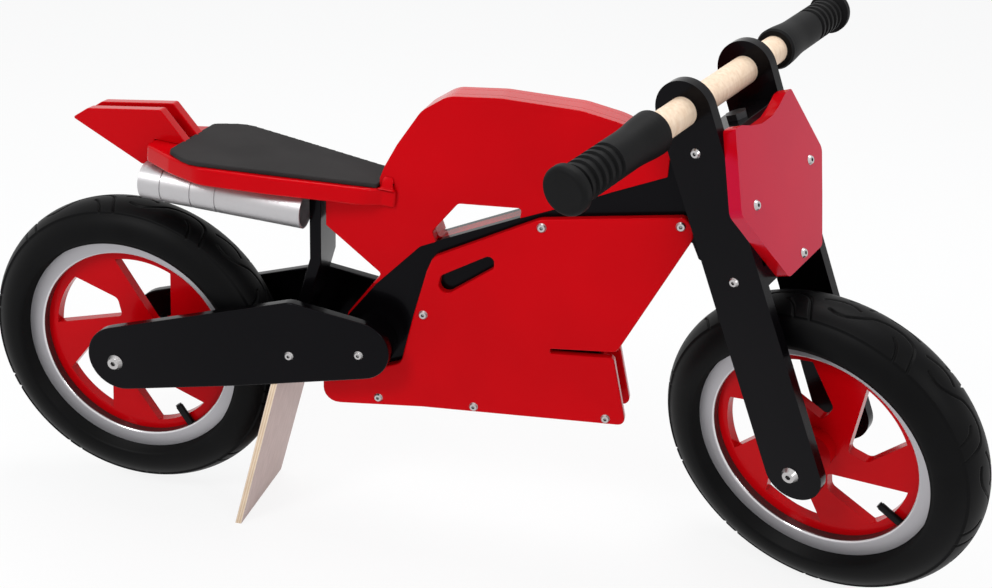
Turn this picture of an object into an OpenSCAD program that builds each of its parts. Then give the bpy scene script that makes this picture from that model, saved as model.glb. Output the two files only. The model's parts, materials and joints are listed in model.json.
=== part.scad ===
// Wooden balance bike on its display stand: the bars are turned to the right, the rear wheel is off the floor.
// Millimetres. +X forward, +Y to the rider's left, +Z up. The origin is on the floor, in the middle of the stand's foot.

/* [Layout] */
// Distance between the wheel axles with the wheel straight ahead
wheelbase = 639.9; // [600:0.1:700]
// Steering axis lean from the bike's own upright
rake = 23.05; // [15:0.05:30]
// How far the front axle sits behind the steering axis
axle_setback = 11.3; // [0:0.1:30]
// Turn of the steering to the rider's right
turn = 27.7; // [-38:0.1:38]
// Nose-down tilt of the frame while the stand holds the rear wheel up
nose_down = 1.35; // [0:0.05:3]

/* [Wheels] */
// Outer radius of the tyre
tyre_r = 146; // [130:0.5:160]
// Radius of the tyre's round section
tyre_section_r = 29.3; // [24:0.1:34]
// Tyre wall
tyre_wall = 3.6; // [2:0.1:6]
// Wall of the air tube
tube_wall = 1.2; // [0.8:0.1:2]
// Gap between the tyre's two beads
bead_gap = 20; // [14:0.5:26]
// Outer radius of the rim flanges
rim_r = 109.2; // [100:0.1:115]
// Inner radius of the rim
rim_bore_r = 97; // [90:0.1:100]
// Width of the rim
rim_w = 29.6; // [24:0.1:36]
// Sheet of the rim
rim_wall = 2.4; // [1.5:0.1:4]
// Thickness of the spoked wheel board
wheel_board = 10; // [8:0.5:15]
// Number of openings in the wheel board
spokes = 5; // [3:1:8]
// Outer radius of the openings
opening_r = 85.5; // [75:0.5:92]
// Corner radius of the openings
opening_fillet = 5; // [1:0.5:10]
// Turn of the rear wheel's openings
rear_phase = 78; // [0:1:360]
// Turn of the front wheel's openings
front_phase = 41; // [0:1:360]
// Radius of the hub boss
boss_r = 20; // [14:0.5:30]
// Hub width over both bosses
hub_w = 34; // [20:0.5:60]
// Outer radius of the hub bush
bush_r = 8; // [6:0.1:12]
// Valve stem radius
valve_r = 3.6; // [2.5:0.1:5]
// Valve stem length
valve_l = 25; // [15:1:35]
// Sideways place of the valve
valve_y = 8.75; // [8.7:0.05:9]
// Angle of the rear valve
rear_valve_angle = -57; // [-180:1:180]
// Angle of the front valve
front_valve_angle = -25.5; // [-180:1:180]
// Radius of the axle bolts
axle_r = 4; // [3:0.1:6]
// Radius of the button heads on the axle bolts
axle_head_r = 7.5; // [5:0.1:10]
// Height of the button heads on the axle bolts
axle_head_h = 4; // [2:0.1:6]
// Radius of the spacer tubes on the axles
axle_spacer_r = 7; // [6:0.1:10]

/* [Frame] */
// Thickness of the core board
core_board = 16; // [12:0.5:20]
// Thickness of each tank board
tank_board = 10; // [8:0.5:14]
// Thickness of each black frame panel
panel_board = 7; // [4:0.5:9]
// Thickness of each fairing board
fairing_board = 9; // [4:0.5:10]
// Thickness of each swing arm
arm_board = 10; // [8:0.5:14]
// Distance from the middle to the middle of a swing arm
arm_y = 45.7; // [40:0.1:55]
// Radius of the large spacers between frame and arms
arm_spacer_r = 25; // [15:0.5:26]
// Width of the cross block between the arms
cross_w = 28; // [20:0.5:34]
// Height of the cross block
cross_h = 24; // [16:0.5:30]
// Radius of the screw heads on the boards
screw_head_r = 4.2; // [3:0.1:6]
// Height of the screw heads
screw_head_h = 1.8; // [1:0.1:3]
// Radius of the screw shanks
screw_r = 2; // [1.5:0.1:3]
// Length of the fairing screws
fairing_screw_l = 21; // [10:0.5:22]

/* [Seat] */
// Thickness of the seat board
seat_board_t = 15.5; // [12:0.5:20]
// Thickness of the seat pad
pad_t = 4; // [3:0.5:15]
// Forward fall of the seat
seat_fall = 4.76; // [0:0.01:8]
// Height of the seat's top above the rear axle, below which the fall starts
seat_top = 217.3; // [190:0.1:240]
// Height of the horns at the front of the seat board
horn_h = 12; // [4:0.5:16]
// Length of the horns at the front of the seat board
horn_l = 11; // [6:0.5:14]
// Width of the seat strut
strut_w = 40; // [30:0.5:50]
// Thickness of the seat strut
strut_t = 10.5; // [8:0.5:14]
// Distance of the strut's upright front face from the rear axle
strut_x = 191.5; // [180:0.5:200]
// Slant of the strut's lower part
strut_slant = 15.5; // [5:0.5:25]
// Height of the bend in the strut
strut_bend = 116.7; // [100:0.5:130]
// Outer radius of the exhaust tubes
exhaust_r = 16.6; // [12:0.1:20]
// Wall of the exhaust tubes
exhaust_wall = 2; // [1:0.1:4]
// Distance of the exhaust tubes from the middle
exhaust_y = 25.5; // [20:0.5:32]
// Length of the exhaust tubes
exhaust_l = 149; // [100:1:160]
// Forward fall of the exhaust tubes
exhaust_fall = 3.43; // [0:0.01:8]
// Width of the grooves round the exhaust tubes
groove_w = 1.6; // [0.8:0.1:3]
// Depth of the grooves round the exhaust tubes
groove_d = 0.8; // [0.4:0.1:1.5]
// Thickness of each tail panel
tail_board = 11; // [8:0.5:14]
// Distance from the middle to the middle of a tail panel
tail_y = 12; // [8:0.5:20]

/* [Steering] */
// Distance from the middle to the middle of a fork plate
fork_y = 48.9; // [40:0.1:60]
// Thickness of each fork plate
fork_board = 9.6; // [8:0.1:14]
// Height of the handlebar along the steering axis
bar_along = 327.3; // [300:0.1:350]
// Rearward place of the handlebar and of the fork screws
bar_back = 10; // [5:0.1:20]
// Radius of the fork's foot
fork_foot_r = 25.6; // [20:0.1:30]
// Height of the lower block's screws along the axis
lower_block_along = 182.3; // [170:0.1:200]
// Height of the upper block's screws along the axis
upper_block_along = 293; // [280:0.1:300]
// Thickness of both blocks
block_t = 16; // [12:0.5:20]
// Front face of the blocks and back face of the number plate
block_front = 14.5; // [10:0.1:20]
// Back face of the blocks behind the axis
block_back = 20; // [15:0.5:30]
// Thickness of the number plate
plate_board = 11; // [8:0.5:14]
// Length of the number plate's screws
plate_screw_l = 18; // [14:0.5:19]
// Lower end of the steering head along the axis
head_bottom = 196; // [190:0.5:210]
// Upper end of the steering head along the axis
head_top = 279; // [250:0.5:285]
// Outer radius of the head tube
head_tube_r = 12; // [9:0.1:14]
// Radius of the pivot bolt
pivot_r = 5; // [4:0.1:8]
// Radius of the washers at the ends of the head
washer_r = 13; // [10:0.1:14]
// Radius of the handlebar
bar_r = 12; // [9:0.1:14]
// Overall width of the handlebar
bar_w = 416.6; // [350:0.2:480]
// Distance of the grips' inner ends from the middle
grip_inner = 97; // [80:0.5:120]
// Radius of the grips' outer ends
grip_end_r = 18.6; // [15:0.1:24]
// Radius of the grips' inner flanges
grip_flange_r = 17.8; // [15:0.1:24]
// Radius of the grips' bodies
grip_body_r = 15.4; // [14:0.1:18]
// Number of ribs on each grip
grip_ribs = 5; // [0:1:10]
// Distance from rib to rib
rib_pitch = 8; // [5:0.5:12]
// Depth of the grooves between the ribs
rib_depth = 1.8; // [0.5:0.1:2.5]

/* [Stand] */
// Thickness of the stand board
stand_t = 6; // [4:0.5:12]
// Forward lean of the stand board
stand_lean = 15.6; // [5:0.1:25]
// Gap between the stand board and the rear tyre
stand_gap = 2.6; // [0.5:0.1:10]

/* [Clearances] */
// Radial running clearance of the turning parts
run = 0.08; // [0.01:0.01:0.1]
// Side clearance between parts that move
side_gap = 0.3; // [0.2:0.05:1]
// Radial clearance round the fixed screws
screw_gap = 0.05; // [0:0.01:0.3]

/* [Hidden] */

$fn = 96;
tiny = 0.01;
section_fn = 64;
small_fn = 40;
tyre_ring_r = tyre_r - tyre_section_r;
spin = nose_down;
rim_bed_r = rim_bore_r + rim_wall;
world_rake = rake - spin;
steer_x = wheelbase + axle_setback * cos(rake);
steer_z = axle_setback * sin(rake);
wheel_lean = asin(sin(turn) * sin(world_rake));
front_axle_height = tyre_section_r + tyre_ring_r * cos(wheel_lean);
pivot_height = front_axle_height + axle_setback * sin(world_rake) * cos(turn);
axle_height = pivot_height + steer_x * sin(spin) - steer_z * cos(spin);
stand_back = (tyre_r + stand_gap - axle_height * sin(stand_lean)) / cos(stand_lean);
foot_x = stand_back + stand_t / cos(stand_lean) / 2;
arm_in = arm_y - arm_board / 2;
arm_out = arm_y + arm_board / 2;
fork_in = fork_y - fork_board / 2;
fork_out = fork_y + fork_board / 2;
core_out = core_board / 2;
tank_out = core_out + tank_board;
panel_out = core_out + panel_board;
fairing_out = panel_out + fairing_board;
front_spacer = [237, 46.1];
rear_screw = [172.2, 34.9];
cross_lean = stand_lean - spin;
red = [0.72, 0.02, 0.05];
black = [0.11, 0.1, 0.11];
steel = [0.75, 0.76, 0.78];
silver = [0.82, 0.82, 0.84];
rubber = [0.07, 0.07, 0.07];
charcoal = [0.25, 0.24, 0.24];
beech = [0.86, 0.7, 0.5];
ply = [0.85, 0.75, 0.68];

// Points of an arc about c
function arc(c, r, from, to, steps = 20) =
  [for (i = [0 : steps]) let (a = from + (to - from) * i / steps) [c[0] + r * cos(a), c[1] + r * sin(a), 0]];

// One corner [x, y, radius] between its neighbours, rounded
function corner(a, b, c, steps = 6) =
  let (
    u = (vec(a) - vec(b)) / norm(vec(a) - vec(b)),
    v = (vec(c) - vec(b)) / norm(vec(c) - vec(b)),
    half = acos(u * v) / 2,
    reach = b[2] / tan(half),
    mid = vec(b) + (u + v) / norm(u + v) * b[2] / sin(half),
    p = vec(b) + u * reach - mid,
    q = vec(b) + v * reach - mid,
    from = atan2(p[1], p[0]),
    raw = atan2(q[1], q[0]) - from,
    sweep = raw > 180 ? raw - 360 : raw < -180 ? raw + 360 : raw
  )
  b[2] == 0 ? [vec(b)] : [for (i = [0 : steps]) let (w = from + sweep * i / steps) mid + b[2] * [cos(w), sin(w)]];
function vec(p) = [p[0], p[1]];
function soften(pts) =
  let (n = len(pts))
  [for (i = [0 : n - 1]) each corner(pts[(i + n - 1) % n], pts[i], pts[(i + 1) % n])];

// A point given ahead of and along the steering axis, in the bike's side view
function head(ahead, along, r = 0) = [
  steer_x + ahead * cos(rake) - along * sin(rake),
  steer_z + ahead * sin(rake) + along * cos(rake),
  r
];

// Height of the seat's surfaces above the rear axle, at a depth below the seat's top
function seat_z(x, depth = 0) = seat_top - x * tan(seat_fall) - depth / cos(seat_fall);

// A point given along the seat and at a depth below its top, in the side view
function seat_point(x, depth) = [
  x * cos(seat_fall) - depth * sin(seat_fall),
  seat_top - x * sin(seat_fall) - depth * cos(seat_fall),
  0
];

// A point of the frame's side view, on the floor's own axes
function world(p) = [
  p[0] * cos(spin) + p[1] * sin(spin) - foot_x,
  -p[0] * sin(spin) + p[1] * cos(spin) + axle_height
];

arm_tail = [4.5, 4.1];
arm_tail_r = 31.5;
arm_nose = [237.5, 50];
arm_nose_r = 27.3;
arm_knee = [122.1, -4.2, 0];
arm_shoulder = [172.5, 87.4, 18];
arm_tail_turn = [106.3, 281.5];
arm_nose_turn = [-76.9, 81.6];
arm_outline = concat(
  arc(arm_tail, arm_tail_r, arm_tail_turn[0], arm_tail_turn[1]),
  [arm_knee],
  arc(arm_nose, arm_nose_r, arm_nose_turn[0], arm_nose_turn[1]),
  [arm_shoulder]
);

tank_rear = 243.9;
fairing_outline = [
  [194.5, -22.2, 14], [287.6, -11.1, 0], [wheelbase - 165.1, 2.6, 6], [wheelbase - 182, 66.6, 4],
  [wheelbase - 237.3, 62.1, 1.6], [wheelbase - 237.6, 66.5, 1.6], [wheelbase - 180, 72.4, 7], [wheelbase - 125.3, 190.2, 16],
  [wheelbase - 137.3, 201.4, 5], [384.5, 183.7, 26], [294.2, 136.9, 10], [289.2, 123.4, 0],
  [278.9, 81.2, 0], [268.2, 30.6, 11], [236, 18, 0], [194.5, 10, 6]
];
vent_outline = [[302, 121, 4], [297.5, 96.4, 7], [348, 134.2, 4], [348.3, 148.2, 5]];

tank_outline = [
  [195.6, 151.6, 2], [246.8, 112.6, 3], [213.3, 66, 0], [207, 30, 8], [212, -16, 8], [287, -9.3, 0],
  [wheelbase - 171.9, 2.6, 6], [wheelbase - 193.9, 68, 6], [wheelbase - 141.9, 176, 0], [wheelbase - 129.8, 176.3, 2], head(-60.5, head_bottom, 3),
  head(0, head_bottom), head(0, head_top), head(-42, head_top, 5), [wheelbase - 157.2, 254.1, 8],
  [wheelbase - 195.8, 271, 60], [wheelbase - 229.3, 277.8, 60], [344, 280.6, 60], [300.6, 277.6, 24], [278.6, 263, 24],
  [258.3, 231.6, 0], [248.1, 211.9, 12], [243.9, 200.9, 0], [tank_rear, seat_z(tank_rear, pad_t + seat_board_t), 0],
  [195.6, seat_z(195.6, pad_t + seat_board_t), 0]
];
// The seam between the tank boards and the black panels, from the front to the rear
seam = [
  [wheelbase - 155.2, 231.5, 0], [wheelbase - 199.1, 212.9, 0], [wheelbase - 242.3, 193, 0],
  [366.8, 180.4, 0], [295.7, 149.6, 6], [281.2, 143.2, 10], [242.4, 102.3, 0]
];
window_outline = [[291.4, 158.5, 3], [313.2, 186.6, 5], [367.6, 189.4, 2.5], [366.8, 180.4, 0], [295.7, 149.6, 4]];
// In the tank boards the window is open to the seam, and its cut runs on below it
window_cut = concat(
  [for (i = [0 : 2]) window_outline[i]],
  [for (i = [3 : 4]) [window_outline[i][0], window_outline[i][1] - 2, 0]]
);

panel_outline = concat(
  [
    [215, 66, 6], [210, 34, 8], [213, -15, 6], [287, -8.3, 0], [wheelbase - 172.9, 3.8, 6],
    [wheelbase - 196.4, 68, 6], [wheelbase - 140.9, 177.6, 2], [wheelbase - 128.7, 177.6, 2], head(-59.5, head_bottom + 1, 3),
    head(-head_tube_r - 1, head_bottom + 1), head(-head_tube_r - 1, head_top - 1),
    head(-42.5, head_top - 1, 5), [seam[0][0], seam[0][1] + 17, 3]
  ],
  seam
);

// Half outlines of the seat, seen from above: [forward, sideways, corner radius]
board_side = [[37.7, 33, 8], [68, 51, 14], [100, 63, 26], [152, 53, 60], [235.4, 31, 30], [249.5, 22.5, 2], [261, 22, 3]];
pad_side = [[65, 45, 8], [90, 62, 24], [150.5, 47.5, 60], [244.5, 24, 4]];

tail_foot = 69.8;
tail_outline = [
  [-40.6, 221.4, 1.5], [-25.4, 231.2, 6], [44.2, 237.3, 3], seat_point(tail_foot, pad_t),
  seat_point(board_side[0][0], pad_t), seat_point(board_side[0][0], pad_t + seat_board_t), [24.4, 185.4, 3]
];

function both_sides(half) = concat(half, [for (i = [len(half) - 1 : -1 : 0]) [half[i][0], -half[i][1], half[i][2]]]);

// Half outline of the number plate: [sideways, along the axis, corner radius]
plate_side = [
  [30, 174, 6], [51, 211, 0], [60.4, 228.5, 0], [69.5, 245, 9], [46, 305.6, 3.5], [37, 305.2, 3],
  [22, 299.4, 14], [9, 296, 14]
];
plate_outline = concat(plate_side, [for (i = [len(plate_side) - 1 : -1 : 0]) [-plate_side[i][0], plate_side[i][1], plate_side[i][2]]]);

// Screw holes of the number plate: [sideways, along the axis]
plate_holes = [[-46.5, 243.5], [46.5, 243.5], [0, 181.4]];

// Opening of the wheel board: [outwards, sideways, corner radius]
opening_outline = [[26, -14, 4], [38, -28, 7], [86, -20, opening_fillet], [86, 44, opening_fillet]];

module bike() {
  translate([-foot_x, 0, axle_height])
    rotate([0, spin, 0])
      children();
}

module steered() {
  translate([steer_x * cos(spin) + steer_z * sin(spin) - foot_x, 0, pivot_height])
    rotate([0, -world_rake, 0])
      rotate([0, 0, -turn])
        children();
}

module head_place() {
  bike()
    translate([steer_x, 0, steer_z])
      rotate([0, -rake, 0])
        children();
}

// A board standing in the side view from y = from to y = to
module slab(from, to) {
  translate([0, to, 0])
    rotate([90, 0, 0])
      linear_extrude(to - from)
        children();
}

module outline(pts) {
  polygon(soften(pts));
}

// A cylinder across the bike from y = from to y = to
module across(p, r, from, to, fn = 96) {
  translate([p[0], to, p[1]])
    rotate([90, 0, 0])
      cylinder(r = r, h = to - from, $fn = fn);
}

module left() {
  mirror([0, 1, 0])
    children();
}

// A button-headed screw that points along +Y, with its head's underside at y = 0
module screw(l, head_r, head_h, r) {
  rotate([-90, 0, 0]) {
    cylinder(r = r, h = l, $fn = small_fn);
    difference() {
      translate([0, 0, -head_h])
        cylinder(r1 = head_r * 0.72, r2 = head_r, h = head_h, $fn = small_fn);
      translate([0, 0, -head_h - tiny])
        cylinder(r = head_r * 0.38, h = head_h * 0.6, $fn = 6);
    }
  }
}

fairing_holes = [
  [247.7, -8.3], [337.3, -2.2], [wheelbase - 183.6, 6.6], [287.5, 81.5], [386.7, 176.8],
  [wheelbase - 139.7, 193.2]
];

// The bore of the head tube, the holes of the arms' front screws and those of the fairing's screws
module body_holes() {
  across(front_spacer, screw_r + screw_gap, -panel_out - tiny, panel_out + tiny, small_fn);
  for (side = [0, 1])
    mirror([0, side, 0])
      for (p = fairing_holes)
        across(p, screw_r + screw_gap, -panel_out - tiny, fairing_screw_l - fairing_out, small_fn);
  translate([steer_x, 0, steer_z])
    rotate([0, -rake, 0])
      translate([0, 0, head_bottom - 1])
        cylinder(r = head_tube_r, h = head_top - head_bottom + 2);
}

module core_shape() {
  difference() {
    slab(-core_out, core_out)
      difference() {
        outline(tank_outline);
        outline(window_outline);
      }
    body_holes();
  }
}

// The tank board ends at the seam, which runs on up in front and level to the rear
module tank_half() {
  difference() {
    slab(-tank_out, -core_out)
      difference() {
        outline(tank_outline);
        outline(window_cut);
        outline(concat(
          [[seam[0][0], 2 * seat_top, 0]], seam,
          [[0, seam[6][1], 0], [0, -tyre_r, 0], [wheelbase, -tyre_r, 0], [wheelbase, 2 * seat_top, 0]]
        ));
      }
    body_holes();
  }
}

module panel_half() {
  difference() {
    slab(-panel_out, -core_out)
      outline(panel_outline);
    body_holes();
  }
}

module fairing_half() {
  difference() {
    slab(-fairing_out, -panel_out)
      difference() {
        outline(fairing_outline);
        outline(vent_outline);
      }
    for (p = fairing_holes)
      across(p, screw_r + screw_gap, -fairing_out - tiny, -panel_out + tiny, small_fn);
  }
}

module fairing_screw_row() {
  for (p = fairing_holes)
    translate([p[0], -fairing_out, p[1]])
      screw(fairing_screw_l, screw_head_r, screw_head_h, screw_r);
}

module arm_half() {
  difference() {
    slab(-arm_out, -arm_in)
      outline(arm_outline);
    across([0, 0], axle_r, -arm_out - tiny, -arm_in + tiny, small_fn);
    for (p = [front_spacer, rear_screw])
      across(p, screw_r + screw_gap, -arm_out - tiny, -arm_in + tiny, small_fn);
  }
}

module arm_spacer_half() {
  difference() {
    across(front_spacer, arm_spacer_r, -arm_in, -panel_out);
    across(front_spacer, screw_r + screw_gap, -arm_in - tiny, -panel_out + tiny, small_fn);
  }
}

module cross_block_shape() {
  difference() {
    translate([rear_screw[0], 0, rear_screw[1]])
      rotate([0, cross_lean, 0])
        cube([cross_w, 2 * arm_in, cross_h], center = true);
    across(rear_screw, screw_r + screw_gap, -arm_in - tiny, -arm_in + 30, small_fn);
    across(rear_screw, screw_r + screw_gap, arm_in - 30, arm_in + tiny, small_fn);
  }
}

// Half of an axle bolt with a button head at each end, about the wheel's own axis
module axle_bolt(out) {
  across([0, 0], axle_r, -out, out, small_fn);
  for (side = [0, 1])
    mirror([0, side, 0])
      translate([0, -out, 0])
        rotate([-90, 0, 0])
          difference() {
            translate([0, 0, -axle_head_h])
              cylinder(r1 = axle_head_r * 0.7, r2 = axle_head_r, h = axle_head_h, $fn = small_fn);
            translate([0, 0, -axle_head_h - tiny])
              cylinder(r = axle_head_r * 0.34, h = axle_head_h * 0.6, $fn = 6);
          }
}

module axle_spacers(limit) {
  for (side = [0, 1])
    mirror([0, side, 0])
      difference() {
        across([0, 0], axle_spacer_r, -limit, -hub_w / 2 - side_gap, small_fn);
        across([0, 0], axle_r, -limit - tiny, -hub_w / 2, small_fn);
      }
}

module wheel_board_shape(phase) {
  difference() {
    union() {
      across([0, 0], rim_bore_r, -wheel_board / 2, wheel_board / 2, 128);
      across([0, 0], boss_r, -hub_w / 2, hub_w / 2);
    }
    across([0, 0], bush_r, -hub_w / 2 - tiny, hub_w / 2 + tiny, small_fn);
    for (i = [0 : spokes - 1])
      rotate([0, -phase - i * 360 / spokes, 0])
        slab(-wheel_board, wheel_board)
          intersection() {
            outline(opening_outline);
            circle(r = opening_r, $fn = 128);
          }
  }
}

module hub_bush_shape() {
  difference() {
    across([0, 0], bush_r, -hub_w / 2, hub_w / 2, small_fn);
    across([0, 0], axle_r + run, -hub_w / 2 - tiny, hub_w / 2 + tiny, small_fn);
  }
}

module rim_shape(valve_angle) {
  half = rim_w / 2;
  inner = half - rim_wall;
  difference() {
    rotate([90, 0, 0])
      rotate_extrude($fn = 128)
        polygon([
          [rim_bore_r, -half], [rim_r, -half], [rim_r, -inner], [rim_bed_r, -inner],
          [rim_bed_r, inner], [rim_r, inner], [rim_r, half], [rim_bore_r, half]
        ]);
    rotate([0, -valve_angle, 0])
      translate([rim_bore_r - 2, -valve_y, 0])
        rotate([0, 90, 0])
          cylinder(r = valve_r + screw_gap, h = 4 + rim_wall, $fn = small_fn);
  }
}

module tyre_shape() {
  bead_y = rim_w / 2 - rim_wall;
  seat_r = rim_bed_r;
  edge_r = rim_r + 0.3;
  rotate([90, 0, 0])
    rotate_extrude($fn = 128)
      difference() {
        union() {
          intersection() {
            translate([tyre_ring_r, 0])
              circle(r = tyre_section_r, $fn = section_fn);
            translate([edge_r, -tyre_section_r - 1])
              square([2 * tyre_section_r, 2 * tyre_section_r + 2]);
          }
          translate([seat_r, -bead_y])
            square([edge_r + 1 - seat_r, 2 * bead_y]);
        }
        intersection() {
          translate([tyre_ring_r, 0])
            circle(r = tyre_section_r - tyre_wall, $fn = section_fn);
          translate([edge_r + tyre_wall, -tyre_section_r - 1])
            square([2 * tyre_section_r, 2 * tyre_section_r + 2]);
        }
        translate([seat_r - 1, -bead_gap / 2])
          square([edge_r + tyre_wall + 2 - seat_r, bead_gap]);
      }
}

// The air tube fills the tyre's hollow
module tube_section(r, floor_r) {
  intersection() {
    translate([tyre_ring_r, 0])
      circle(r = r, $fn = section_fn);
    translate([floor_r, -r])
      square([2 * r, 2 * r]);
  }
}

module tube_shape() {
  r = tyre_section_r - tyre_wall - side_gap;
  floor_r = rim_r + tyre_wall + 3 * side_gap;
  rotate([90, 0, 0])
    rotate_extrude($fn = 96)
      difference() {
        tube_section(r, floor_r);
        tube_section(r - tube_wall, floor_r + tube_wall);
      }
}

module valve_shape(angle) {
  rotate([0, -angle, 0])
    translate([rim_bore_r - valve_l, -valve_y, 0])
      rotate([0, 90, 0]) {
        cylinder(r = valve_r - 0.6, h = valve_l + rim_wall, $fn = small_fn);
        translate([0, 0, 2])
          cylinder(r = valve_r, h = valve_l, $fn = small_fn);
      }
}

module strut_shape() {
  top = seat_z(strut_x, pad_t + seat_board_t);
  base = rear_screw + cross_h / 2 * [sin(cross_lean), cos(cross_lean)];
  slide = [cos(cross_lean), -sin(cross_lean)];
  run_down = tan(strut_slant);
  front = strut_x - (strut_bend - base[1]) * run_down;
  shift = (front - base[0]) / (1 + tan(cross_lean) * run_down);
  foot_front = base + slide * shift / cos(cross_lean);
  foot_back = foot_front - slide * strut_t / cos(strut_slant - cross_lean);
  slab(-strut_w / 2, strut_w / 2)
    polygon([
      foot_front, [strut_x, strut_bend], [strut_x, seat_z(strut_x, pad_t + seat_board_t)],
      [strut_x - strut_t, seat_z(strut_x - strut_t, pad_t + seat_board_t)],
      [strut_x - strut_t, strut_bend + strut_t * tan(strut_slant / 2)], foot_back
    ]);
}

// A slab lying on the seat's slope, from one depth below its top to another
module seat_layer(from, to) {
  translate([0, 0, seat_top])
    rotate([0, seat_fall, 0])
      translate([0, 0, -to])
        linear_extrude(to - from)
          children();
}

// Room for the tank between the two prongs of the seat
module tank_slot() {
  translate([tank_rear, -tank_out, 0])
    cube([wheelbase - tank_rear, 2 * tank_out, 2 * seat_top]);
}

module seat_board_shape() {
  tip = board_side[len(board_side) - 1];
  difference() {
    union() {
      seat_layer(pad_t, pad_t + seat_board_t)
        outline(both_sides(board_side));
      for (side = [0, 1])
        mirror([0, side, 0])
          translate([0, 0, seat_top])
            rotate([0, seat_fall, 0])
              translate([tip[0] - tip[2] - horn_l, 0, -pad_t])
                rotate([90, 0, 90])
                  linear_extrude(horn_l)
                    polygon([
                      [-tip[1], -tip[2]], [-tank_out, -tip[2]], [-tank_out, horn_h],
                      [-tip[1] + 1, horn_h / 2], [-tip[1], horn_h / 4]
                    ]);
    }
    tank_slot();
  }
}

module tail_half() {
  slab(-tail_y - tail_board / 2, -tail_y + tail_board / 2)
    outline(tail_outline);
}

module exhaust_shape() {
  r = exhaust_r;
  front_x = strut_x - strut_t;
  translate([front_x, -exhaust_y, seat_z(front_x, pad_t + seat_board_t)])
    rotate([0, exhaust_fall, 0])
      translate([0, 0, -r])
        rotate([0, 90, 0])
          translate([0, 0, -exhaust_l])
            difference() {
              cylinder(r = r, h = exhaust_l);
              translate([0, 0, -tiny])
                cylinder(r = r - exhaust_wall, h = exhaust_l + 2 * tiny);
              for (d = [20, 48, 71])
                translate([0, 0, d])
                  difference() {
                    cylinder(r = r + 1, h = groove_w);
                    translate([0, 0, -tiny])
                      cylinder(r = r - groove_d, h = groove_w + 2 * tiny);
                  }
            }
}

module stand_shape() {
  up = [sin(stand_lean), cos(stand_lean)];
  tongue = (world(rear_screw) - [stand_back - foot_x, 0]) * up - cross_h / 2;
  dip = 2 * stand_t;
  low_tail = arm_tail + arm_tail_r * [cos(arm_tail_turn[1]), sin(arm_tail_turn[1])];
  low_nose = arm_nose + arm_nose_r * [cos(arm_nose_turn[0]), sin(arm_nose_turn[0])];
  over = [0, 2 * tyre_r];
  difference() {
    translate([stand_back - foot_x, 0, 0])
      rotate([0, stand_lean, 0])
        translate([0, -arm_out, -dip])
          cube([stand_t, 2 * arm_out, dip + tongue]);
    translate([-tyre_r, -tyre_r, -tyre_r])
      cube([2 * tyre_r, 2 * tyre_r, tyre_r]);
    bike()
      for (side = [0, 1])
        mirror([0, side, 0])
          slab(-arm_out - 1, -arm_in)
            polygon([low_tail, vec(arm_knee), low_nose, low_nose + over, low_tail + over]);
  }
}

module fork_plate_shape() {
  pts = concat(
    arc([-bar_back, bar_along], bar_back + block_front, 0, 180, 32),
    arc([-8.6, 1], fork_foot_r, 180, 360, 32),
    [[block_front, 168, 0]]
  );
  difference() {
    slab(-fork_out, -fork_in)
      polygon([for (p = pts) vec(p)]);
    across([-bar_back, bar_along], bar_r, -fork_out - tiny, -fork_in + tiny);
    across([-axle_setback, 0], axle_r, -fork_out - tiny, -fork_in + tiny, small_fn);
    for (z = [lower_block_along, upper_block_along])
      across([-bar_back, z], screw_r + screw_gap, -fork_out - tiny, -fork_in + tiny, small_fn);
    plate_screw_holes()
      rotate([0, -90, 0])
        cylinder(r = screw_r + screw_gap, h = plate_screw_l + 1, $fn = small_fn);
  }
}

module block_shape(along) {
  difference() {
    translate([-block_back, -fork_in, along - block_t / 2])
      cube([block_back + block_front, 2 * fork_in, block_t]);
    translate([0, 0, along - block_t])
      cylinder(r = pivot_r, h = 2 * block_t);
    across([-bar_back, along], screw_r + screw_gap, -fork_in - tiny, -fork_in + 26, small_fn);
    across([-bar_back, along], screw_r + screw_gap, fork_in - 26, fork_in + tiny, small_fn);
  }
}

module plate_screw_holes() {
  for (p = plate_holes)
    translate([block_front + plate_board, p[0], p[1]])
      children();
}

module grip_shape() {
  l = bar_w / 2 - grip_inner;
  difference() {
    translate([-bar_back, -grip_inner, bar_along])
      rotate([90, 0, 0])
        rotate_extrude($fn = 64)
          polygon(concat(
            [[0, l + 3]],
            [for (a = [90 : -15 : 0]) [grip_end_r - 4 + 4 * cos(a), l - 1 + 4 * sin(a)]],
            [[grip_end_r, l - 5]],
            [for (i = [0 : grip_ribs]) each [
              [grip_body_r - rib_depth, l - 7 - i * rib_pitch], [grip_body_r - rib_depth, l - 10 - i * rib_pitch],
              [grip_body_r, l - 11 - i * rib_pitch], [grip_body_r, l - 14 - i * rib_pitch]
            ]],
            [for (i = [0 : 8]) [
              grip_flange_r - (grip_flange_r - grip_body_r) * (1 + cos(22.5 * i)) / 2, l / 3 - i * (l / 3 - 2) / 8
            ]],
            [[grip_flange_r - 1.5, 0], [0, 0]]
          ));
    across([-bar_back, bar_along], bar_r, -bar_w / 2, -grip_inner + tiny);
  }
}

module tank_core() {
  color(red)
    bike()
      core_shape();
}

module tank_right() {
  color(red)
    bike()
      tank_half();
}

module tank_left() {
  color(red)
    bike()
      left()
        tank_half();
}

module panel_right() {
  color(black)
    bike()
      panel_half();
}

module panel_left() {
  color(black)
    bike()
      left()
        panel_half();
}

module fairing_right() {
  color(red)
    bike()
      fairing_half();
}

module fairing_left() {
  color(red)
    bike()
      left()
        fairing_half();
}

module fairing_screws() {
  color(steel)
    bike() {
      fairing_screw_row();
      left()
        fairing_screw_row();
    }
}

module swing_arm_right() {
  color(black)
    bike()
      arm_half();
}

module swing_arm_left() {
  color(black)
    bike()
      left()
        arm_half();
}

module arm_spacer_right() {
  color(black)
    bike()
      arm_spacer_half();
}

module arm_spacer_left() {
  color(black)
    bike()
      left()
        arm_spacer_half();
}

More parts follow.
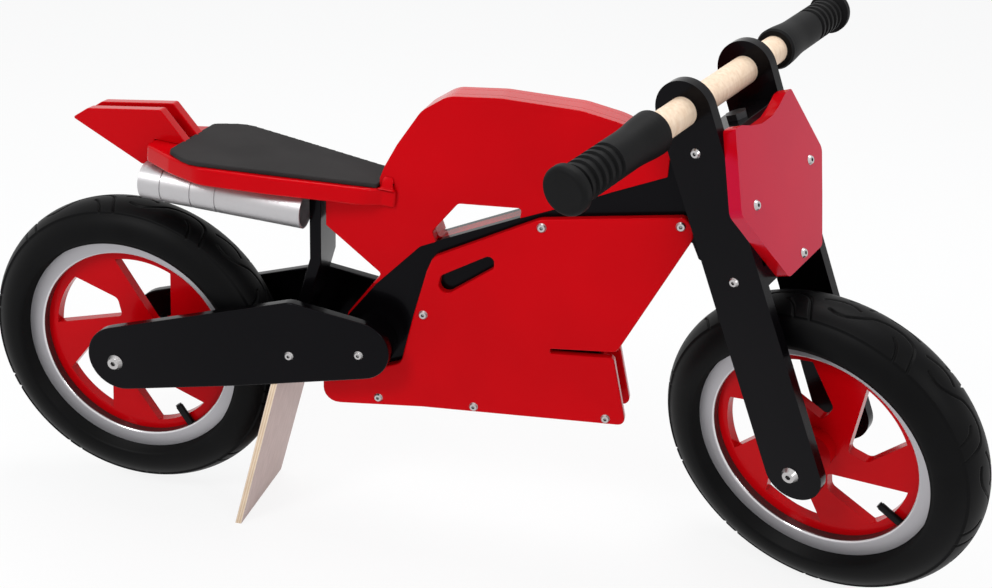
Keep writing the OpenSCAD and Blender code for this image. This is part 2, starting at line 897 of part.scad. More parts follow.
module cross_block() {
  color(black)
    bike()
      cross_block_shape();
}

module arm_screws() {
  color(steel)
    bike()
      for (side = [0, 1])
        mirror([0, side, 0])
          for (p = [[front_spacer, 44], [rear_screw, 34]])
            translate([p[0][0], -arm_out, p[0][1]])
              screw(p[1], screw_head_r, screw_head_h, screw_r);
}

module rear_axle() {
  color(steel)
    bike()
      axle_bolt(arm_out);
}

module rear_axle_spacers() {
  color(steel)
    bike()
      axle_spacers(arm_in);
}

module seat_strut() {
  color(black)
    bike()
      strut_shape();
}

module seat_board() {
  color(red)
    bike()
      seat_board_shape();
}

module seat_pad() {
  color(charcoal)
    bike()
      difference() {
        seat_layer(0, pad_t)
          outline(both_sides(pad_side));
        tank_slot();
        tail_half();
        left()
          tail_half();
      }
}

module tail_right() {
  color(red)
    bike()
      tail_half();
}

module tail_left() {
  color(red)
    bike()
      left()
        tail_half();
}

module exhaust_right() {
  color(silver)
    bike()
      exhaust_shape();
}

module exhaust_left() {
  color(silver)
    bike()
      left()
        exhaust_shape();
}

module stand_board() {
  color(ply)
    stand_shape();
}

module head_tube() {
  color(steel)
    head_place()
      translate([0, 0, head_bottom])
        difference() {
          cylinder(r = head_tube_r, h = head_top - head_bottom);
          translate([0, 0, -tiny])
            cylinder(r = pivot_r + run, h = head_top - head_bottom + 2 * tiny);
        }
}

module fork_plate_right() {
  color(black)
    steered()
      fork_plate_shape();
}

module fork_plate_left() {
  color(black)
    steered()
      left()
        fork_plate_shape();
}

module upper_block() {
  color(black)
    steered()
      block_shape(upper_block_along);
}

module lower_block() {
  color(black)
    steered()
      difference() {
        block_shape(lower_block_along);
        plate_screw_holes()
          rotate([0, -90, 0])
            cylinder(r = screw_r + screw_gap, h = plate_screw_l + 1, $fn = small_fn);
      }
}

module fork_screws() {
  color(steel)
    steered()
      for (side = [0, 1])
        mirror([0, side, 0])
          for (z = [lower_block_along, upper_block_along])
            translate([-bar_back, -fork_out, z])
              screw(30, screw_head_r, screw_head_h, screw_r);
}

module pivot_bolt() {
  low = lower_block_along - block_t / 2;
  high = upper_block_along + block_t / 2;
  color(steel)
    steered() {
      translate([0, 0, low])
        cylinder(r = pivot_r, h = high - low);
      translate([0, 0, low - 5])
        cylinder(r = pivot_r * 1.8, h = 5, $fn = 6);
      translate([0, 0, high])
        cylinder(r = pivot_r * 1.8, h = 5, $fn = 6);
    }
}

module head_washers() {
  low = lower_block_along + block_t / 2;
  high = upper_block_along - block_t / 2;
  color(rubber)
    steered()
      for (s = [[low, head_bottom - side_gap], [head_top + side_gap, high]])
        translate([0, 0, s[0]])
          difference() {
            cylinder(r = washer_r, h = s[1] - s[0]);
            translate([0, 0, -tiny])
              cylinder(r = pivot_r, h = s[1] - s[0] + 2 * tiny);
          }
}

module handlebar() {
  color(beech)
    steered()
      across([-bar_back, bar_along], bar_r, -bar_w / 2, bar_w / 2);
}

module grip_right() {
  color(rubber)
    steered()
      grip_shape();
}

module grip_left() {
  color(rubber)
    steered()
      left()
        grip_shape();
}

module number_plate() {
  color(red)
    steered()
      difference() {
        translate([block_front, 0, 0])
          rotate([90, 0, 90])
            linear_extrude(plate_board)
              outline(plate_outline);
        plate_screw_holes()
          rotate([0, -90, 0])
            cylinder(r = screw_r + screw_gap, h = plate_screw_l + 1, $fn = small_fn);
      }
}

module plate_screws() {
  color(steel)
    steered()
      plate_screw_holes()
        rotate([0, 0, 90])
          screw(plate_screw_l, screw_head_r, screw_head_h, screw_r);
}

module front_axle() {
  color(steel)
    steered()
      translate([-axle_setback, 0, 0])
        axle_bolt(fork_out);
}

module front_axle_spacers() {
  color(steel)
    steered()
      translate([-axle_setback, 0, 0])
        axle_spacers(fork_in);
}

module rear_wheel_board() {
  color(red)
    bike()
      wheel_board_shape(rear_phase);
}

module rear_hub_bush() {
  color(steel)
    bike()
      hub_bush_shape();
}

module rear_rim() {
  color(silver)
    bike()
      rim_shape(rear_valve_angle);
}

module rear_tyre() {
  color(rubber)
    bike()
      tyre_shape();
}

module rear_tube() {
  color(rubber)
    bike()
      tube_shape();
}

module rear_valve() {
  color(rubber)
    bike()
      valve_shape(rear_valve_angle);
}

module front_wheel() {
  steered()
    translate([-axle_setback, 0, 0])
      children();
}

module front_wheel_board() {
  color(red)
    front_wheel()
      wheel_board_shape(front_phase - rake);
}

module front_hub_bush() {
  color(steel)
    front_wheel()
      hub_bush_shape();
}

module front_rim() {
  color(silver)
    front_wheel()
      rim_shape(front_valve_angle - rake);
}

module front_tyre() {
  color(rubber)
    front_wheel()
      tyre_shape();
}

module front_tube() {
  color(rubber)
    front_wheel()
      tube_shape();
}

module front_valve() {
  color(rubber)
    front_wheel()
      valve_shape(front_valve_angle - rake);
}

tank_core();
tank_right();
tank_left();
panel_right();
panel_left();
fairing_right();
fairing_left();
fairing_screws();
swing_arm_right();
swing_arm_left();
arm_spacer_right();
arm_spacer_left();
cross_block();
arm_screws();
rear_axle();
rear_axle_spacers();
seat_strut();
seat_board();
seat_pad();
tail_right();
tail_left();
exhaust_right();
exhaust_left();
stand_board();
head_tube();
fork_plate_right();
fork_plate_left();
upper_block();
lower_block();
fork_screws();
pivot_bolt();
head_washers();
handlebar();
grip_right();
grip_left();
number_plate();
plate_screws();
front_axle();
front_axle_spacers();
rear_wheel_board();
rear_hub_bush();
rear_rim();
rear_tyre();
rear_tube();
rear_valve();
front_wheel_board();
front_hub_bush();
front_rim();
front_tyre();
front_tube();
front_valve();
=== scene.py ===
"""The balance bike's looks: lacquered boards, alloy rims, treaded tyres and a foam seat."""
import json
import math

import bmesh
import bpy
import numpy as np
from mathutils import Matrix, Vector


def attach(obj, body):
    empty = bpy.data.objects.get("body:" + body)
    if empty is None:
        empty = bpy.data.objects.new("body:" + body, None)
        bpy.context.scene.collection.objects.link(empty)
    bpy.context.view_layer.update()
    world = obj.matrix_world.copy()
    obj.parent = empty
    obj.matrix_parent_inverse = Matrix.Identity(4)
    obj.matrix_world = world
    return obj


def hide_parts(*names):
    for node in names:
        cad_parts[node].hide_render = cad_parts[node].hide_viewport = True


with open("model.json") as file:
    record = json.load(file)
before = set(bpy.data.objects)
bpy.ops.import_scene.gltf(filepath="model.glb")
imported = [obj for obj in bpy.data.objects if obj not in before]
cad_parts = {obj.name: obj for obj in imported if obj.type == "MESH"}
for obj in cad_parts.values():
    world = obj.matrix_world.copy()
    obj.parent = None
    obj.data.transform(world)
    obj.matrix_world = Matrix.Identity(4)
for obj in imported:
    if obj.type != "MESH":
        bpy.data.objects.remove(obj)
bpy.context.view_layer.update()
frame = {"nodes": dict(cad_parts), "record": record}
NODES = frame["nodes"]
SLOTS = {part["node"]: part["material_slot"] for part in frame["record"]["subparts"]}
JOINTS = {joint["name"]: joint for joint in frame["record"]["behaviour"]["joints"]}

MM = 0.001
WHITE = (1, 1, 1, 1)


# Shader helpers

def new_material(name):
    """A material, its tree's nodes and links, and its main shader."""
    material = bpy.data.materials.new(name)
    material.use_nodes = True
    tree = material.node_tree
    return material, tree.nodes, tree.links, tree.nodes["Principled BSDF"]


def set_inputs(made, **values):
    """Sets a shader node's inputs by name, with _ for a space."""
    for name, value in values.items():
        made.inputs[name.replace("_", " ")].default_value = value


def node(nodes, kind, **values):
    """A new shader node with its named inputs set."""
    made = nodes.new("ShaderNode" + kind)
    set_inputs(made, **values)
    return made


def calculate(nodes, links, operation, first, second=None):
    """A math node on a linked value. The second value, if any, is a linked or a written one."""
    made = nodes.new("ShaderNodeMath")
    made.operation = operation
    links.new(first, made.inputs[0])
    if isinstance(second, float):
        made.inputs[1].default_value = second
    elif second is not None:
        links.new(second, made.inputs[1])
    return made.outputs[0]


def along(nodes, links, output, axis):
    """How far the surface's place (Object) or direction (Normal) reaches along an axis."""
    place = nodes.new("ShaderNodeTexCoord")
    made = nodes.new("ShaderNodeVectorMath")
    made.operation = "DOT_PRODUCT"
    made.inputs[1].default_value = axis
    links.new(place.outputs[output], made.inputs[0])
    return made.outputs["Value"]


def noise(nodes, links, scale, detail, stretch=(1, 1, 1), turn=(0, 0, 0)):
    """Noise in the object's own coordinates."""
    place = nodes.new("ShaderNodeTexCoord")
    mapping = node(nodes, "Mapping", Scale=stretch, Rotation=turn)
    made = node(nodes, "TexNoise", Scale=scale, Detail=detail)
    links.new(place.outputs["Object"], mapping.inputs["Vector"])
    links.new(mapping.outputs["Vector"], made.inputs["Vector"])
    return made.outputs["Fac"]


def ramp(nodes, links, source, stops):
    """A colour ramp on a value. Stops are (position, colour)."""
    made = nodes.new("ShaderNodeValToRGB")
    elements = made.color_ramp.elements
    while len(elements) < len(stops):
        elements.new(0.5)
    for element, (position, colour) in zip(elements, stops):
        element.position = position
        element.color = (*colour, 1)
    links.new(source, made.inputs["Fac"])
    return made.outputs["Color"]


def mottled(nodes, links, grain, dark, light):
    """Two tones that run into each other with the grain."""
    return ramp(nodes, links, grain, [(0.35, dark), (0.65, light)])


def mix_colours(nodes, links, share, first, second, way="MIX"):
    """Mixes two colours. The share and the second colour are linked or written ones."""
    mixed = nodes.new("ShaderNodeMix")
    mixed.data_type = "RGBA"
    mixed.blend_type = way
    factor, colour_a, colour_b = mixed.inputs[0], mixed.inputs[6], mixed.inputs[7]
    if isinstance(share, float):
        factor.default_value = share
    else:
        links.new(share, factor)
    links.new(first, colour_a)
    if isinstance(second, tuple):
        colour_b.default_value = (*second, 1)
    else:
        links.new(second, colour_b)
    return mixed.outputs[2]


def bump(nodes, links, shader, height, strength, distance):
    """Fine relief. The distance is in millimetres."""
    made = node(nodes, "Bump", Strength=strength, Distance=distance * MM)
    links.new(height, made.inputs["Height"])
    links.new(made.outputs["Normal"], shader.inputs["Normal"])


# Materials

def lacquer(name, dark, light, tint, gloss):
    """Sprayed gloss paint on ply: slight orange peel, a faint unevenness of colour."""
    material, nodes, links, shader = new_material(name)
    colour = mottled(nodes, links, noise(nodes, links, 7, 3), dark, light)
    links.new(colour, shader.inputs["Base Color"])
    set_inputs(shader, Roughness=0.2, Specular_IOR_Level=gloss, Specular_Tint=(*tint, 1),
               Coat_Weight=0.04, Coat_Roughness=0.05)
    bump(nodes, links, shader, noise(nodes, links, 130, 3), 0.05, 0.6)
    return material


def metal(name, colour, roughness, metallic=1.0, hollow=None):
    """Satin metal. With a hollow, in millimetres, sockets and corners of about that size get painted shade:
    an occlusion node darkens their colour.
    """
    material, nodes, links, shader = new_material(name)
    set_inputs(shader, Base_Color=(*colour, 1), Roughness=roughness, Metallic=metallic)
    if hollow:
        # Painted shade: the colour turns dark where occlusion finds sockets and corners close by
        near = node(nodes, "AmbientOcclusion", Distance=hollow * MM)
        near.only_local = True
        dark = tuple(0.08 * c for c in colour)
        shade = ramp(nodes, links, near.outputs["AO"], [(0.35, dark), (0.9, colour)])
        links.new(shade, shader.inputs["Base Color"])
    spread = node(nodes, "MapRange", From_Min=0.3, From_Max=0.7,
                  To_Min=roughness - 0.06, To_Max=roughness + 0.08)
    links.new(noise(nodes, links, 300, 5), spread.inputs["Value"])
    links.new(spread.outputs["Result"], shader.inputs["Roughness"])
    return material


# Rim tones by how the surface faces the axis: the light lip tone is a painted highlight, the dark bore tone
# is painted shade
RIM_FACE = (0.45, 0.44, 0.46)
RIM_LIP_HIGHLIGHT = (0.75, 0.74, 0.75)
RIM_BORE_SHADE = (0.1, 0.07, 0.07)


def rim_alloy(name, axis):
    """Cast rim: satin on its flat sides and polished round its lips, with a painted highlight in the lips'
    colour and painted shade in its bore.
    """
    material, nodes, links, shader = new_material(name)
    set_inputs(shader, Metallic=0.7)
    facing = calculate(nodes, links, "ABSOLUTE", along(nodes, links, "Normal", axis))
    satin = node(nodes, "MapRange", From_Min=0.8, From_Max=0.97, To_Min=0.12, To_Max=0.5)
    links.new(facing, satin.inputs["Value"])
    links.new(satin.outputs["Result"], shader.inputs["Roughness"])
    # Painted highlight on the lips and painted shade in the bore, in the base colour
    tones = [(0.3, RIM_BORE_SHADE), (0.55, RIM_LIP_HIGHLIGHT), (0.8, RIM_LIP_HIGHLIGHT), (0.97, RIM_FACE)]
    links.new(ramp(nodes, links, facing, tones), shader.inputs["Base Color"])
    bump(nodes, links, shader, noise(nodes, links, 450, 4), 0.05, 0.3)
    return material


# Painted shade: the colour that darkens the tyre's grooves
GROOVE_SHADE = (0.0008, 0.0008, 0.0009)


def rubber(name, dark, light, roughness, pits, strength, gloss=0.12, grooved=False):
    """Rubber or plastic with fine pits. Where it is grooved, the groove attribute darkens it with painted
    shade.
    """
    material, nodes, links, shader = new_material(name)
    colour = mottled(nodes, links, noise(nodes, links, 25, 4), dark, light)
    if grooved:
        # Painted shade in the grooves, deeper where they are deeper
        groove = nodes.new("ShaderNodeAttribute")
        groove.attribute_name = "groove"
        colour = mix_colours(nodes, links, groove.outputs["Fac"], colour, GROOVE_SHADE)
    links.new(colour, shader.inputs["Base Color"])
    set_inputs(shader, Roughness=roughness, Specular_IOR_Level=gloss)
    bump(nodes, links, shader, noise(nodes, links, pits, 3), strength, 0.4)
    return material


def beech(name):
    """Bare beech: fine grain along the bar, lightly flecked."""
    material, nodes, links, shader = new_material(name)
    grain = noise(nodes, links, 8, 6, (40, 40, 3))
    colour = ramp(nodes, links, grain, [(0.32, (0.78, 0.58, 0.41)), (0.68, (0.9, 0.72, 0.55))])
    links.new(colour, shader.inputs["Base Color"])
    set_inputs(shader, Roughness=0.42, Specular_IOR_Level=0.3)
    bump(nodes, links, shader, grain, 0.12, 0.4)
    return material


STAND_LEAN = math.radians(15.6)
VENEER = (0.62, 0.5, 0.47)
PALE_LAYER = (0.8, 0.66, 0.5)
WARM_LAYER = (0.68, 0.5, 0.34)


def ply(name):
    """Bare birch ply for the stand: pinkish veneer on its faces, thin layers of two tones in its edges."""
    material, nodes, links, shader = new_material(name)
    normal = Vector((math.cos(STAND_LEAN), 0, -math.sin(STAND_LEAN)))
    depths = [normal.dot(v.co) for v in NODES["stand_board"].data.vertices]
    layer = node(nodes, "MapRange", From_Min=min(depths), From_Max=max(depths))
    links.new(along(nodes, links, "Object", normal), layer.inputs["Value"])
    stops = [(0, VENEER), (0.04, PALE_LAYER), (0.22, WARM_LAYER), (0.4, PALE_LAYER),
             (0.6, WARM_LAYER), (0.78, PALE_LAYER), (0.97, VENEER)]
    colour = ramp(nodes, links, layer.outputs["Result"], stops)
    colour.node.color_ramp.interpolation = "CONSTANT"
    grain = noise(nodes, links, 9, 6, (6, 40, 6), (0, STAND_LEAN, 0))
    shade = ramp(nodes, links, grain, [(0.3, (0.86, 0.84, 0.83)), (0.7, (1, 1, 1))])
    colour = mix_colours(nodes, links, 1.0, colour, shade, "MULTIPLY")
    links.new(colour, shader.inputs["Base Color"])
    set_inputs(shader, Roughness=0.6, Specular_IOR_Level=0.25)
    bump(nodes, links, shader, grain, 0.1, 0.4)
    return material


def foam(name):
    """Closed-cell foam sheet: dark grey, matt, finely pitted, with soft blotches."""
    material, nodes, links, shader = new_material(name)
    tone = noise(nodes, links, 18, 5)
    colour = mottled(nodes, links, tone, (0.023, 0.0215, 0.0215), (0.03, 0.028, 0.028))
    links.new(colour, shader.inputs["Base Color"])
    set_inputs(shader, Roughness=0.85, Specular_IOR_Level=0.12)
    bump(nodes, links, shader, noise(nodes, links, 1400, 2), 0.35, 0.4)
    return material


# Finishes by material slot
MATERIALS = {
    "red_lacquer": lacquer("red_lacquer", (0.48, 0.0006, 0.003), (0.54, 0.0006, 0.0035),
                           (1, 0.1, 0.14), 0.22),
    "black_lacquer": lacquer("black_lacquer", (0.0012, 0.001, 0.0013), (0.002, 0.0016, 0.002),
                             (0.4, 0.4, 0.46), 0.14),
    "ply": ply("ply"),
    "beech": beech("beech"),
    "pad": foam("pad"),
    # The zinc gets painted shade in its screw sockets and corners
    "zinc": metal("zinc", (0.5, 0.49, 0.49), 0.3, hollow=3),
    "alloy": metal("alloy", (0.66, 0.65, 0.66), 0.3),
    "exhaust": metal("exhaust", (0.5, 0.49, 0.5), 0.4, metallic=0.85),
    "grip": rubber("grip", (0.0022, 0.0022, 0.0024), (0.0036, 0.0036, 0.004), 0.55, 900, 0.15),
    "tyre": rubber("tyre", (0.0012, 0.0012, 0.0014), (0.0022, 0.0022, 0.0025), 0.45, 1200, 0.1,
                   gloss=0.08, grooved=True),
    "black_plastic": rubber("black_plastic", (0.003, 0.003, 0.0034), (0.004, 0.004, 0.0045),
                            0.4, 600, 0.05),
}

# Finishes of single nodes, which go before their slot's
OWN_FINISH = {
    # The number plate has nearly the red lacquer's colour with a stronger, violet-tinted reflection: a
    # painted pink reflection on the same paint
    "number_plate": lacquer("plate_lacquer_tinted_reflection", (0.46, 0.0006, 0.003), (0.52, 0.0006, 0.0035),
                            (0.9, 0.17, 1), 0.42),
    # The pivot bolt's steel is coloured nearly black: painted shade for the gap between the fork plates
    # where it sits
    "pivot_bolt": metal("steel_darkened_for_shade", (0.03, 0.03, 0.032), 0.35, metallic=0.6),
}


# The CAD nodes. Lacquered and bare boards get rounded edges, but the tank's core keeps its own between
# the boards beside it. Rounding in millimetres, by board, with _right and _left left out of the names
ROUNDED_SLOTS = ("red_lacquer", "black_lacquer", "ply")
NOT_ROUNDED = "tank_core"
DEFAULT_ROUND = 0.6
ROUND = {
    "stand_board": 0.3,
    "cross_block": 0.8,
    "tail": 1.0,
    "seat_strut": 1.2,
    "rear_wheel_board": 1.3,
    "front_wheel_board": 1.3,
    "fairing": 1.4,
    "number_plate": 1.4,
    "swing_arm": 1.4,
    "fork_plate": 1.4,
    "seat_board": 2.4,
}
# Boards whose shortest edges would hold the rounding of all the others back
UNCLAMPED = ("seat_board", "tank", "tail", "fairing", "swing_arm")
WELD_WITHIN = 0.005
FLAT_WITHIN = math.radians(0.3)
ROUND_FROM = math.radians(35)


def dress(name, shown):
    """Gives a CAD node its finish, and a board its rounded edges."""
    slot = SLOTS[name]
    shown.data.materials.clear()
    shown.data.materials.append(OWN_FINISH.get(name, MATERIALS[slot]))
    if slot not in ROUNDED_SLOTS or name == NOT_ROUNDED:
        return
    board = name.removesuffix("_right").removesuffix("_left")
    weld = shown.modifiers.new("weld", "WELD")
    weld.merge_threshold = WELD_WITHIN * MM
    flat = shown.modifiers.new("flat", "DECIMATE")
    flat.decimate_type = "DISSOLVE"
    flat.angle_limit = FLAT_WITHIN
    bevel = shown.modifiers.new("round", "BEVEL")
    bevel.width = ROUND.get(board, DEFAULT_ROUND) * MM
    bevel.segments = 3
    bevel.limit_method = "ANGLE"
    bevel.angle_limit = ROUND_FROM
    bevel.use_clamp_overlap = board not in UNCLAMPED
    shown.modifiers.new("normals", "WEIGHTED_NORMAL")


for name, shown in NODES.items():
    dress(name, shown)


def link(name, mesh, slot, body, finish=None):
    """Adds a piece of its own, in its slot's finish unless another is given."""
    obj = bpy.data.objects.new(name, mesh)
    bpy.context.scene.collection.objects.link(obj)
    mesh.materials.clear()
    mesh.materials.append(finish or MATERIALS[slot])
    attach(obj, body)
    return obj


def ring(name, loops, cad_node, joint, up, phase=0, finish=None):
    """A closed section swept round a wheel's axis, in place of a CAD node.

    The loops hold (radius, sideways) in millimetres by row of the section and column round the wheel.
    Column 0 lies forward, square to the axis and to the up direction, and the phase turns it on.
    """
    rows, columns = loops.shape[:2]
    axis = Vector(joint["axis"]).normalized()
    forward = axis.cross(Vector(up)).normalized()
    top = np.array(forward.cross(axis))
    turn = np.arange(columns) * 2 * math.pi / columns + math.radians(phase)
    outward = np.cos(turn)[:, None] * np.array(forward) + np.sin(turn)[:, None] * top
    radius, sideways = loops[:, :, 0, None], loops[:, :, 1, None]
    points = (radius * outward - sideways * np.array(axis)) * MM + np.array(Vector(joint["pos_m"]))
    i, j = np.meshgrid(np.arange(rows), np.arange(columns), indexing="ij")
    i2, j2 = (i + 1) % rows, (j + 1) % columns
    corners = [i * columns + j, i * columns + j2, i2 * columns + j2, i2 * columns + j]
    mesh = bpy.data.meshes.new(name)
    mesh.from_pydata(points.reshape(-1, 3).tolist(), [], np.stack(corners, axis=-1).reshape(-1, 4).tolist())
    mesh.update()
    work = bmesh.new()
    work.from_mesh(mesh)
    bmesh.ops.recalc_face_normals(work, faces=work.faces)
    work.to_mesh(mesh)
    work.free()
    mesh.polygons.foreach_set("use_smooth", [True] * len(mesh.polygons))
    obj = link(name, mesh, SLOTS[cad_node], joint["child"], finish)
    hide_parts(cad_node)
    return obj


# Tyres: a round section with a raised tread band. Millimetres, and degrees round the section
TYRE_R = 146
SECTION_R = 29.3
RING_R = TYRE_R - SECTION_R
WALL = 3.6
MOUTH_R = 109.5
BEAD_R = 99.4
BEAD_OUT = 12.4
BEAD_IN = 10
TREAD_EDGE = 45.5
TREAD_STEP = 1.2
TREAD_ROWS = 67
SIDE_ROWS = [TREAD_EDGE + 1.2, 50, 55, 60, 66, 72, 78, 84, 90, 96]
INNER_ROWS = 13

# Grooves: ten repeats round the wheel. Points are (along the tread, across it) from its middle line
REPEATS = 10
REPEAT_COLUMNS = 110
COLUMNS = REPEAT_COLUMNS * REPEATS
PITCH = 2 * math.pi * TYRE_R / REPEATS
GROOVE_DEPTH = 1.8
GROOVE_HALF = 1.3
GROOVE_STEEPNESS = 1.3
SHORT_GROOVE = [(121, 7), (116.4, 10.9), (113.1, 16.4), (110.8, 22.8)]
LONG_GROOVE = [(84.6, 9.4), (77.2, 11.5), (68.6, 11), (58.5, 6.5), (49.3, 0.5), (37.4, -2.7),
               (25.7, -3), (16, -0.1), (11, 4.7), (7.6, 14), (4.3, 22.8)]
CROWN_GROOVE = [(92.5, -0.9), (80.4, -4.3), (70.1, -4.3), (62.5, -1.0)]
# The far side repeats the short groove and both ends of the long one, which has its middle on the crown
FAR_GROOVES = [SHORT_GROOVE, LONG_GROOVE[:4], LONG_GROOVE[8:]]
FAR_SHIFT = 5
CURVE_STEPS = 10


def smooth_line(points):
    """A Catmull-Rom curve through the points."""
    p = np.array([points[0], *points, points[-1]], float)
    out = []
    for i in range(1, len(p) - 2):
        for k in range(CURVE_STEPS):
            t = k / CURVE_STEPS
            out.append(0.5 * (2 * p[i] + (p[i + 1] - p[i - 1]) * t
                              + (2 * p[i - 1] - 5 * p[i] + 4 * p[i + 1] - p[i + 2]) * t * t
                              + (3 * p[i] - p[i - 1] - 3 * p[i + 1] + p[i + 2]) * t ** 3))
    out.append(p[-1])
    return np.array(out)


def groove_lines():
    """The grooves of one repeat. The far side's are mirrored and half a repeat on."""
    near = [SHORT_GROOVE, LONG_GROOVE, CROWN_GROOVE]
    far = [[(s + PITCH / 2, -t - FAR_SHIFT) for s, t in groove] for groove in FAR_GROOVES]
    return [smooth_line(groove) for groove in near + far]


def groove_cut(lines, radius, phi):
    """How deep the grooves go along one row of the tread, in the columns of one repeat."""
    s = np.arange(REPEAT_COLUMNS) * 2 * math.pi / COLUMNS * TYRE_R
    t = math.radians(phi) * SECTION_R
    squeeze = radius / TYRE_R
    reach = np.full(REPEAT_COLUMNS, np.inf)
    for line in lines:
        for repeat in range(-2, 3):
            ahead = (s[:, None] - line[None, :, 0] - repeat * PITCH) * squeeze
            reach = np.minimum(reach, np.hypot(ahead, t - line[None, :, 1]).min(axis=1))
    return GROOVE_DEPTH * np.clip(GROOVE_STEEPNESS * (1 - reach / GROOVE_HALF), 0, 1)


def tyre_section():
    """The tyre's closed section in rows of (radius, sideways, angle), the angle None off its outside."""
    def on_section(r, phi):
        return RING_R + r * math.cos(math.radians(phi)), r * math.sin(math.radians(phi))

    sides = SIDE_ROWS + [math.degrees(math.acos((MOUTH_R - RING_R) / SECTION_R))]
    rows = [(*on_section(SECTION_R, -phi), -phi) for phi in reversed(sides)]
    for phi in np.linspace(-TREAD_EDGE, TREAD_EDGE, TREAD_ROWS):
        rows.append((*on_section(SECTION_R + TREAD_STEP * (phi / TREAD_EDGE) ** 2, phi), phi))
    rows += [(*on_section(SECTION_R, phi), phi) for phi in sides]
    bead = [(MOUTH_R, BEAD_OUT), (BEAD_R, BEAD_OUT), (BEAD_R, BEAD_IN), (MOUTH_R + WALL, BEAD_IN)]
    rows += [(r, y, None) for r, y in bead]
    inner_r = SECTION_R - WALL
    end = math.degrees(math.acos((MOUTH_R + WALL - RING_R) / inner_r))
    rows += [(*on_section(inner_r, phi), None) for phi in np.linspace(end, -end, INNER_ROWS)]
    return rows + [(r, -y, None) for r, y in reversed(bead)]


def tyre(name, cad_node, joint, up, phase=0):
    """A tyre with its grooves cut in, and with their depth as a point attribute for the shader, which
    paints shade into the grooves.
    """
    rows = tyre_section()
    lines = groove_lines()
    loops = np.zeros((len(rows), COLUMNS, 2))
    depth = np.zeros((len(rows), COLUMNS))
    for i, (radius, sideways, phi) in enumerate(rows):
        loops[i] = radius, sideways
        if phi is not None and abs(phi) <= TREAD_EDGE:
            cut = np.tile(groove_cut(lines, radius, phi), REPEATS)
            loops[i, :, 0] -= cut * math.cos(math.radians(phi))
            loops[i, :, 1] -= cut * math.sin(math.radians(phi))
            depth[i] = cut / GROOVE_DEPTH
    obj = ring(name, loops, cad_node, joint, up, phase)
    shade = obj.data.attributes.new("groove", "FLOAT", "POINT")
    shade.data.foreach_set("value", depth.reshape(-1))


# Rims: flanges whose rolled lips overlap the wheel board's border on both sides. Millimetres
RIM_OUT_R = 109.2
RIM_BED_R = 99.4
RIM_BORE_R = 97
RIM_HALF = 14.8
RIM_WALL = 2.4
LIP_R = 94.4
LIP_ROLL = 2.4
LIP_IN = 5.2
LIP_WALL = 1.2
LIP_SLOPE = 1.5
RIM_COLUMNS = 256
RIM_ROUND = 0.4
RIM_ROUND_FROM = math.radians(50)


def rim(name, cad_node, joint, up):
    """A rim with its rolled lips, turned from one half of its section."""
    roll = []
    for angle in range(0, 91, 15):
        roll.append((LIP_R + LIP_ROLL * (1 - math.sin(math.radians(angle))),
                     RIM_HALF - LIP_ROLL * (1 - math.cos(math.radians(angle)))))
    face = [(RIM_OUT_R, RIM_HALF), *roll, (LIP_R, LIP_IN), (LIP_R + LIP_WALL, LIP_IN),
            (RIM_BORE_R, LIP_IN + LIP_SLOPE), (RIM_BORE_R, 0)]
    bed = [(RIM_BED_R, 0), (RIM_BED_R, RIM_HALF - RIM_WALL), (RIM_OUT_R, RIM_HALF - RIM_WALL)]
    section = [(r, -y) for r, y in face] + [(r, y) for r, y in face[-2::-1]]
    section += bed[::-1] + [(r, -y) for r, y in bed[1:]]
    loops = np.repeat(np.array(section, float)[:, None], RIM_COLUMNS, axis=1)
    obj = ring(name, loops, cad_node, joint, up, finish=rim_alloy(cad_node + "_alloy", joint["axis"]))
    edges = obj.modifiers.new("round", "BEVEL")
    edges.width = RIM_ROUND * MM
    edges.segments = 2
    edges.limit_method = "ANGLE"
    edges.angle_limit = RIM_ROUND_FROM
    obj.modifiers.new("normals", "WEIGHTED_NORMAL")


UP = (0, 0, 1)
STEER_AXIS = JOINTS["steering_turn"]["axis"]
REAR_PHASE = 17.6
tyre("front_tyre_treaded", "front_tyre", JOINTS["front_wheel_spin"], STEER_AXIS)
tyre("rear_tyre_treaded", "rear_tyre", JOINTS["rear_wheel_spin"], UP, REAR_PHASE)
rim("front_rim_lipped", "front_rim", JOINTS["front_wheel_spin"], STEER_AXIS)
rim("rear_rim_lipped", "rear_rim", JOINTS["rear_wheel_spin"], UP)

# Seat: the foam sheet, with the CAD pad's shape and softened edges
FOAM_VOXEL = 0.9


def seat_foam():
    """The foam sheet, remeshed from the CAD pad and smoothed."""
    mesh = NODES["seat_pad"].data.copy()
    mesh.name = "seat_foam"
    obj = link("seat_foam", mesh, SLOTS["seat_pad"], "frame")
    obj.matrix_world = NODES["seat_pad"].matrix_world
    remesh = obj.modifiers.new("remesh", "REMESH")
    remesh.mode = "VOXEL"
    remesh.voxel_size = FOAM_VOXEL * MM
    soft = obj.modifiers.new("soften", "SMOOTH")
    soft.factor = 0.5
    soft.iterations = 4
    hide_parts("seat_pad")


seat_foam()

# Camera, in metres, degrees and millimetres of lens
CAMERA_AT = (0.42191, -0.91010, 0.65914)
CAMERA_TURN = (66.27851, -1.89912, 12.36328)
LENS = 41.69
SENSOR = 36

camera_data = bpy.data.cameras.new("camera")
camera_data.lens = LENS
camera_data.sensor_width = SENSOR
camera = bpy.data.objects.new("camera", camera_data)
camera.location = CAMERA_AT
camera.rotation_euler = [math.radians(a) for a in CAMERA_TURN]
bpy.context.scene.collection.objects.link(camera)
bpy.context.scene.camera = camera
bpy.context.scene.view_settings.view_transform = "Standard"


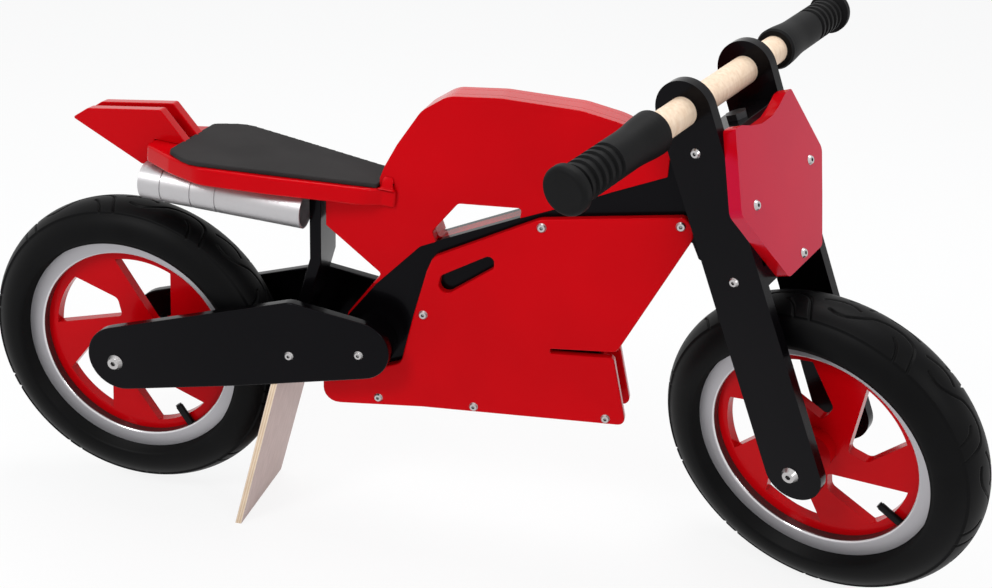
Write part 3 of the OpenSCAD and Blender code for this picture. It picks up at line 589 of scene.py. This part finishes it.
def white_to_sight(nodes, links, shown, lit, output, share=1.0):
    """Shows camera, glossy and transmission rays a white shader, by this share, and the rest a lit one."""
    path = nodes.new("ShaderNodeLightPath")
    seen = path.outputs["Is Camera Ray"]
    for kind in ("Is Glossy Ray", "Is Transmission Ray"):
        seen = calculate(nodes, links, "MAXIMUM", seen, path.outputs[kind])
    mix = nodes.new("ShaderNodeMixShader")
    links.new(calculate(nodes, links, "MULTIPLY", seen, share), mix.inputs["Fac"])
    links.new(lit, mix.inputs[1])
    links.new(shown, mix.inputs[2])
    links.new(mix.outputs[0], output)


# World: white to sight, soft light for the rest
world = bpy.data.worlds.new("studio")
bpy.context.scene.world = world
world.use_nodes = True
world_nodes, world_links = world.node_tree.nodes, world.node_tree.links
world_nodes.clear()
world_out = world_nodes.new("ShaderNodeOutputWorld")
soft_sky = node(world_nodes, "Background", Color=(0.95, 0.97, 1, 1), Strength=0.62)
white_sky = node(world_nodes, "Background", Color=WHITE, Strength=1)
white_to_sight(world_nodes, world_links, white_sky.outputs[0], soft_sky.outputs[0],
               world_out.inputs["Surface"])

# Lamps: places and sizes in metres, powers in watts, all aimed at the bike's middle
MIDDLE = (0.25, 0, 0.25)


def lamp(name, place, size, power):
    """A square soft lamp."""
    data = bpy.data.lights.new(name, "AREA")
    data.energy = power
    data.size = size
    obj = bpy.data.objects.new(name, data)
    obj.location = place
    obj.rotation_euler = (Vector(MIDDLE) - Vector(place)).to_track_quat("-Z", "Y").to_euler()
    bpy.context.scene.collection.objects.link(obj)


lamp("key", (-0.9, -2.0, 2.2), 0.7, 28)
lamp("fill", (2.2, -1.6, 1.6), 0.8, 12)
lamp("top", (0.3, 0.5, 2.4), 1.2, 22)

# Floor: nearly white to sight, so that the bike's shadow stays. Metres, just under the stand's foot
FLOOR_HALF = 12
FLOOR_Z = -0.0002
FLOOR_WHITE = 0.85
floor_material, floor_nodes, floor_links, floor_shader = new_material("floor")
set_inputs(floor_shader, Base_Color=(0.9, 0.9, 0.9, 1), Roughness=0.9, Specular_IOR_Level=0)
glow = node(floor_nodes, "Emission", Color=WHITE, Strength=1)
white_to_sight(floor_nodes, floor_links, glow.outputs[0], floor_shader.outputs[0],
               floor_nodes["Material Output"].inputs["Surface"], FLOOR_WHITE)
floor_mesh = bpy.data.meshes.new("floor")
corners = [(x * FLOOR_HALF, y * FLOOR_HALF, FLOOR_Z) for x, y in ((-1, -1), (1, -1), (1, 1), (-1, 1))]
floor_mesh.from_pydata(corners, [], [(0, 1, 2, 3)])
floor = bpy.data.objects.new("floor", floor_mesh)
floor_mesh.materials.append(floor_material)
bpy.context.scene.collection.objects.link(floor)
